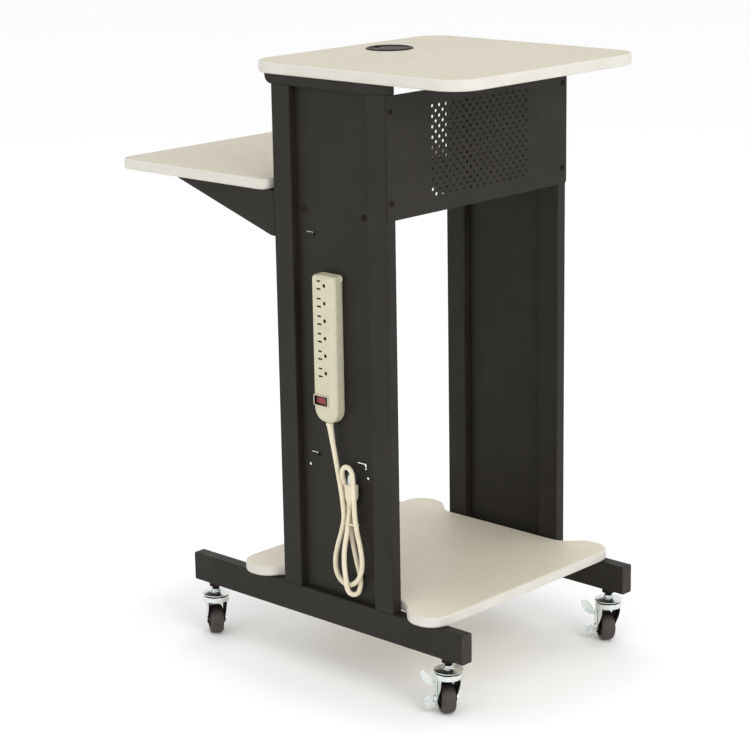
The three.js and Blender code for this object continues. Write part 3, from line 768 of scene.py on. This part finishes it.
def brake_lever():
    """An arm on the axle with a paddle to lock the wheel and one below to free it."""
    inner = FORK_INNER + FORK_SHEET + GAP
    root, arm_top, arm_foot = inner + 1, 57.6, 12.2
    arm = [(TRAIL - 8, WHEEL_RADIUS), (TRAIL - 3, arm_top), (TRAIL + 5, arm_top),
           (TRAIL + 8, WHEEL_RADIUS), (TRAIL + 6, arm_foot), (TRAIL, arm_foot)]
    bar = slab(arm, -inner - 2, -inner, 0.6, [circle(TRAIL, WHEEL_RADIUS, 3.4, 16)], FACING)
    pad = tilted_oval(32.2, 61, long=16, short=7.4, lean=54, half_turn=152, steps=22)
    upper = [(root, 45), *pad, (root, 54)]
    tip = 31
    lower = [(root, 8.6), (20.5, 6.6), *arc(tip, 10.4, 5, -100, 0, 5),
             *arc(tip, 24.4, 4.2, 10, 100, 5), (25.6, 28.6), (23, 24), (22, 18.8), (root, 18.6)]
    paddles = [slab(outline, TRAIL + 3, TRAIL + 5, 0.7, turn=SIDEWAYS)
               for outline in (upper, lower)]
    return joined([bar, *paddles])


def casters():
    """Four casters under the tubes' ends, all trailing one way. The front two have brakes."""
    for side, x in (("left", -HALF_WIDTH + TUBE_WIDE / 2), ("right", HALF_WIDTH - TUBE_WIDE / 2)):
        for end, y in (("front", TUBE_FRONT + CASTER_INSET), ("rear", TUBE_REAR - CASTER_INSET)):
            name, braked = f"{side}_{end}", end == "front"
            still = HOME @ Matrix.Translation((x * MM, y * MM, 0))
            trailing = still @ Matrix.Rotation(math.radians(HEADING), 4, "Z")
            piece(f"{name}_plate_and_nut", [caster_plate()], [ZINC, NEAR_BLACK_AND_SHADE],
                  [f"{name}_caster_plate"], home=still)
            piece(f"{name}_crown_and_legs", [caster_fork()], [ZINC, NEAR_BLACK_AND_SHADE],
                  [f"{name}_caster_fork"], f"{name}_fork", trailing)
            piece(f"{name}_axle_bolt", [caster_axle(braked)], [ZINC],
                  [f"{name}_caster_axle"], f"{name}_fork", trailing)
            piece(f"{name}_wheel_and_tread", [caster_wheel()], [RUBBER, NEAR_BLACK_AND_SHADE],
                  [f"{name}_caster_wheel"], f"{name}_wheel", trailing)
            if braked:
                piece(f"{name}_brake_paddles", [brake_lever()], [ZINC],
                      [f"{name}_brake_lever"], f"{name}_brake", trailing)


# ------------------------------------------------------------------ power strip
def strip_outline(y0, y1, top, corner, shoulder, nose):
    """The housing seen from the front: a slightly bowed top and a round nose at the foot."""
    middle, half, bow = (y0 + y1) / 2, (y1 - y0) / 2, 2
    ring = arc(y1 - corner, top - bow - corner, corner, 0, 90, 5)
    for i in range(1, 8):  # along the bowed top, between the corners
        across = 1 - i / 4
        ring.append((middle + (half - corner) * across, top - bow * across * across))
    ring += arc(y0 + corner, top - bow - corner, corner, 90, 180, 5)
    steps, squareness, fullness = 24, 0.8, 0.9
    for i in range(steps + 1):  # round the nose, a slightly squared half oval
        a = math.pi * (1 + i / steps)
        across, down = math.cos(a), max(0.0, -math.sin(a))
        ring.append((middle + half * math.copysign(abs(across) ** squareness, across),
                     shoulder - (shoulder - nose) * down ** fullness))
    return ring


def outlet_holes():
    """Grounded outlets on their sides: one blade slot over the other, a round hole beside them."""
    outlets, highest, pitch, rise = 6, 680, 29.04, 6.5
    blades_y, ground_y, half_slot = 18.2, 6.2, 1.5
    holes = []
    for row in range(outlets):
        z = highest - pitch * row
        for slot, half in ((z + rise, 4.2), (z - rise, 4.7)):
            holes.append(rectangle(blades_y - half, blades_y + half,
                                   slot - half_slot, slot + half_slot))
        holes.append(circle(ground_y, z, 3.3, 16))
    return holes


def strip_cover():
    """The outlet face, with a broad shoulder towards -Y and a tight one opposite, over a back seam."""
    outer = strip_outline(STRIP_LOW_Y, STRIP_HIGH_Y, STRIP_TOP, 1.5, STRIP_SHOULDER, STRIP_FOOT)
    face = strip_outline(STRIP_LOW_Y + 17, STRIP_HIGH_Y - 1.4, STRIP_TOP - 5, 1.5,
                         STRIP_SHOULDER + 2, STRIP_FOOT + 10)
    depth, steps = 8, 8
    rings = [[(STRIP_BACK, y, z) for y, z in outer]]
    for i in range(steps + 1):
        a = math.pi / 2 * i / steps
        inward, out = 1 - math.cos(a), math.sin(a)
        rings.append([
            (STRIP_FACE + depth * (1 - out), y + (v - y) * inward, z + (w - z) * inward)
            for (y, z), (v, w) in zip(outer, face)
        ])
    opening = rectangle(SWITCH_Y - 16.5, SWITCH_Y + 17, SWITCH_Z - 9.5, SWITCH_Z + 9.5)
    pocket = slab(opening, STRIP_FACE - 1, STRIP_FACE + 9, 0.05, turn=SIDEWAYS)
    holes = outlet_holes()
    cutters = [slab(hole, STRIP_FACE - 1, STRIP_FACE + 5, 0.05, turn=SIDEWAYS) for hole in holes]
    shell = carved(lofted(rings), pocket, *cutters)
    # painted shade: near-black plates in the outlet holes stand for their dark depths
    dark = [painted(slab(hole, STRIP_FACE + 1, STRIP_FACE + 1.6, 0.04, turn=SIDEWAYS), 1)
            for hole in holes]
    proud = strip_outline(STRIP_LOW_Y - GAP, STRIP_HIGH_Y + GAP, STRIP_TOP + GAP, 1.6,
                          STRIP_SHOULDER, STRIP_FOOT - GAP)
    seam = slab(proud, STRIP_BACK - 4, STRIP_BACK - 3.2, 0.2, turn=SIDEWAYS)
    ear = rounded(STRIP_LOW_Y - 3.5, STRIP_LOW_Y + 2, STRIP_TOP - 10, STRIP_TOP - 2, 2)
    lug = slab(ear, STRIP_BACK - 2.6, STRIP_BACK - 0.6, 0.5, turn=SIDEWAYS)
    return [shell, seam, lug, *dark]


def switch_frame():
    """A proud rim, a near-black lining, and a well behind the rocker in near-black painted shade."""
    half_wide, half_high = 16.2, 9.2

    def ring(inset, radius):
        return rounded(SWITCH_Y - half_wide + inset, SWITCH_Y + half_wide - inset,
                       SWITCH_Z - half_high + inset, SWITCH_Z + half_high - inset, radius)

    def frame_slab(wall, low, high, edge, hole=None, corner=1.0):
        holes = [ring(hole, 0.8)] if hole else []
        return slab(ring(wall, corner), STRIP_FACE + low, STRIP_FACE + high, edge, holes, SIDEWAYS)

    rim = frame_slab(0, -2.4, 8.7, 0.5, 1.4, 1.8)
    # painted shade: the well at the back of the opening is near black
    well = painted(frame_slab(1, 7, 8.5, 0.2), 1)
    lining = painted(frame_slab(1.35, -1.4, 7.2, 0.05, 1.9), 1)
    return [rim, well, lining]


def rocker():
    """A rocker that tips about a vertical pin, resting 6 degrees over."""
    half, rest_angle = 12.5, 6
    front = bend((half, 1.5), (0, 0.5), (-half, 1.5), 10)
    back = bend((-half, -1.5), (0, -5), (half, -1.5), 10)
    shape = slab([(half, 1.5), *front, (-half, -1.5), *back], -6.2, 6.2, 0.5)
    shape.transform(Matrix.Rotation(math.radians(90 - rest_angle), 4, "Z"))
    moved(shape, STRIP_FACE + 1, SWITCH_Y, SWITCH_Z)
    piece("rocker_key", [shape], [RED], ["rocker_switch"], "rocker")


def power_strip():
    piece("strip_housing", strip_cover(), [HOUSING, NEAR_BLACK_AND_SHADE],
          ["power_strip_cover"])
    piece("switch_frame", switch_frame(), [HOUSING, NEAR_BLACK_AND_SHADE], ["switch_bezel"])
    rocker()


# ------------------------------------------------------------------ power cord
CORD_EXIT = (-222.5, 3.6, 416.2)
# from the strain relief down to the first low loop, up the front, over the top loop, down behind
# to the second low loop, and up in front to the plug's tail
CORD_ROUTE = (
    (-222.5, 4.1, 419), (-222.3, -3.2, 385), (-222.4, -13.4, 337), (-222.4, -16.8, 314),
    (-222.4, -18.2, 292), (-222.6, -12.6, 268), (-222.8, -3.4, 241), (-223, 2.2, 216),
    (-223.4, -0.8, 194), (-223.9, -10.8, 182.4), (-224.2, -27.6, 178.4), (-224.2, -44, 186.4),
    (-224.2, -55.4, 203), (-224.2, -59, 223), (-224.2, -55.6, 248), (-224.6, -49.8, 272),
    (-226.2, -47, 297), (-229.2, -48.4, 322), (-229.2, -47.2, 345), (-227, -44, 366),
    (-226.4, -40, 377.2), (-226.2, -31, 382.2), (-226, -22.2, 378), (-225, -18.8, 368),
    (-221.2, -18.3, 356.5), (-216.2, -17.9, 346), (-214.6, -18, 334), (-214.4, -21, 317),
    (-214.6, -24.6, 292), (-215.2, -29.4, 256), (-215.4, -38, 222), (-215.4, -46.4, 190),
    (-216.8, -46, 174), (-220.6, -42.9, 165.4), (-227, -36.9, 165), (-231.6, -32.4, 173),
    (-232.6, -30, 188), (-229.6, -23.8, 230), (-227, -30, 275), (-221.6, -32.6, 319),
)


def power_cord(pieces_on_it):
    """The mains cord, hung in a hank of two long loops."""
    curve = bpy.data.curves.new("power_cord", "CURVE")
    curve.dimensions = "3D"
    curve.resolution_u = 8
    curve.bevel_depth = CORD_WIDE / 2 * MM
    curve.bevel_resolution = 5
    curve.use_fill_caps = True
    spline = curve.splines.new("BEZIER")
    spline.bezier_points.add(len(CORD_ROUTE) - 1)
    for point, place in zip(spline.bezier_points, CORD_ROUTE):
        point.co = metres(*place)
        point.handle_left_type = point.handle_right_type = "AUTO"
    curve.materials.append(VINYL)
    cord = bpy.data.objects.new("mains_cord", curve)
    bpy.context.scene.collection.objects.link(cord)
    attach(cord, "frame")
    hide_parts("power_cord", "cord_hank")


def strain_relief():
    """A ribbed boot that narrows from the housing to the cord and leans with it."""
    long, sideways, ribs, pitch = 34, 6, 6, 4.2
    lean = math.atan2(sideways, long)
    profile = [(0, -long), (4.3, -long), (4.5, -long + 0.6)]
    for i in range(ribs):
        z = -long + 4 + i * pitch
        radius = 4.55 + i * 0.17
        profile += [(radius, z), (radius - 0.35, z + 0.5), (radius - 0.3, z + 1.4),
                    (radius + 0.1, z + 1.9)]
    profile += [(5.7, -5), (6, -2.5), (0, -2.5)]
    boot = turned(profile, 28)
    boot.transform(Matrix.Rotation(-lean, 4, "X"))
    root = turned([(0, -4.5), (5.6, -4.5), (5.9, -3.8), (6, 0), (0, 0)], 28)
    middle = (STRIP_LOW_Y + STRIP_HIGH_Y) / 2
    shape = moved(joined([boot, root]), CORD_EXIT[0], middle, STRIP_FOOT - GAP)
    return piece("strain_relief_boot", [shape], [VINYL], ["strain_relief"])


PLUG_Y, PLUG_BASE = -33, 321


def plug_section(z, half_x, half_y, back=-211.4, y=PLUG_Y, power=4.0):
    """A rounded ring of the plug's body at one height, flat towards the panel."""
    ring, steps = [], 32
    for i in range(steps):
        a = 2 * math.pi * i / steps
        c, s = math.cos(a), math.sin(a)
        ring.append((back - half_x + half_x * math.copysign(abs(c) ** (2 / power), c),
                     y + half_y * math.copysign(abs(s) ** (2 / power), s), PLUG_BASE + z))
    return ring


def plug():
    """A moulded plug bound into the hank, blades up: a tail, a body, two blades and a round pin."""
    body = lofted([
        plug_section(-6, 4.7, 4.7, -217.4, -32.7, 2.0),
        plug_section(-2.5, 5.0, 5.2, -216.6, -32.8, 2.2),
        plug_section(0.5, 5.6, 6.4, -215, -32.9, 2.6),
        plug_section(3.5, 6.5, 8.8, -213, PLUG_Y, 3.2),
        plug_section(7, 7.1, 10.4, -211.8, PLUG_Y, 3.6),
        plug_section(12, 7.3, 11.0),
        plug_section(18, 7.2, 11.1),
        plug_section(27, 7.4, 11.4),
        plug_section(29.6, 7.2, 11.2),
        plug_section(30.6, 6.4, 10.4),
    ])
    low, high = PLUG_BASE + 29.6, PLUG_BASE + 48
    blade_spacing = 12.7
    blades = []
    for y in (PLUG_Y + blade_spacing / 2, PLUG_Y - blade_spacing / 2):
        blades.append(slab(rectangle(-219.7, -213.5, y - 0.75, y + 0.75), low, high, 0.3))
    pin = turned([(0, 0), (2.3, 0), (2.3, 15), (1.6, 17.4), (0, 18)], 20)
    blades.append(moved(pin, -222, PLUG_Y, low))
    parts = [body, *(painted(blade, 1) for blade in blades)]
    return piece("mains_plug", parts, [VINYL, ZINC], ["plug"])


def tie(name, z, *runs):
    """A thin vinyl tie pulled round runs of the cord, given by their places in X and Y."""
    def loop(clear):
        points = [p for x, y in runs for p in circle(x, y, CORD_WIDE / 2 + clear, 20)]
        return [points[i] for i in convex_hull_2d(points)]

    band = slab(loop(0.95), z - 1.3, z + 1.3, 0.3, [loop(0.1)])
    return piece(name, [band], [VINYL])


# ------------------------------------------------------------------ camera, light and floor
def add_camera():
    """The photograph's viewpoint: nearly four metres off, a little above, over a corner."""
    place = metres(-2722.08, -2444.25, 1457.81)
    focal_length, sensor_width = 107.206, 36
    azimuth, elevation, roll = (math.radians(a) for a in (-46.7595, 14.8611, -0.9916))
    back = Vector((math.sin(azimuth) * math.cos(elevation),
                   -math.cos(azimuth) * math.cos(elevation), math.sin(elevation)))
    right = Vector((0, 0, 1)).cross(back).normalized()
    up = back.cross(right)
    tilted_right = right * math.cos(roll) + up * math.sin(roll)
    tilted_up = up * math.cos(roll) - right * math.sin(roll)
    data = bpy.data.cameras.new("camera")
    data.sensor_width = sensor_width
    data.lens = focal_length
    camera = bpy.data.objects.new("camera", data)
    bpy.context.scene.collection.objects.link(camera)
    turn = Matrix((tilted_right, tilted_up, back)).transposed().to_4x4()
    camera.matrix_world = Matrix.Translation(place) @ turn
    bpy.context.scene.camera = camera


def add_light(name, place, target, size, power):
    """A square soft light in the row frame: metres and watts."""
    data = bpy.data.lights.new(name, "AREA")
    data.size = size
    data.energy = power
    light = bpy.data.objects.new(name, data)
    bpy.context.scene.collection.objects.link(light)
    aim = (Vector(target) - Vector(place)).to_track_quat("-Z", "Y")
    light.matrix_world = Matrix.Translation(place) @ aim.to_matrix().to_4x4()


def add_studio():
    """An even white surround, three soft lights and a pale floor."""
    world = bpy.data.worlds.new("studio")
    world.use_nodes = True
    surround = world.node_tree.nodes["Background"]
    surround.inputs["Color"].default_value = (1, 1, 1, 1)
    surround.inputs["Strength"].default_value = 0.99
    bpy.context.scene.world = world
    bpy.context.scene.view_settings.view_transform = "Standard"
    add_light("front_key", (-1.0, -3.8, 2.6), (0, 0, 0.3), 2.0, 52)
    add_light("overhead", (0.1, 0.1, 4.6), (0, 0, 0), 0.5, 20)
    add_light("left_soft", (-3.2, 0.9, 1.6), (0, 0, 0.6), 1.6, 8)
    bm = bmesh.new()
    bmesh.ops.create_grid(bm, x_segments=8, y_segments=8, size=30)
    mesh = bpy.data.meshes.new("floor")
    bm.to_mesh(mesh)
    bm.free()
    mesh.materials.append(floor_white())
    floor = bpy.data.objects.new("floor", mesh)
    bpy.context.scene.collection.objects.link(floor)


def plain_nodes():
    """The CAD nodes that keep their own shape take the scene's finishes."""
    finishes = {"power_strip_base": HOUSING}
    for side in ("left", "right"):
        for end in ("front", "rear"):
            finishes[f"{side}_{end}_caster_socket"] = BLACK
    for name, material in finishes.items():
        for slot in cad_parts[name].material_slots:
            slot.material = material


add_camera()
power_cord([
    strain_relief(), plug(),
    tie("upper_cord_tie", 311, (-222.6, -32.4), (-214.6, -22)),
    tie("lower_cord_tie", 287, (-226, -31), (-225.4, -47.8), (-214.7, -25)),
])
worktop()
side_shelf()
base_shelf()
columns()
panels()
modesty_panel()
panel_screws()
shelf_brackets()
base_tubes()
grommet()
casters()
power_strip()
plain_nodes()
add_studio()
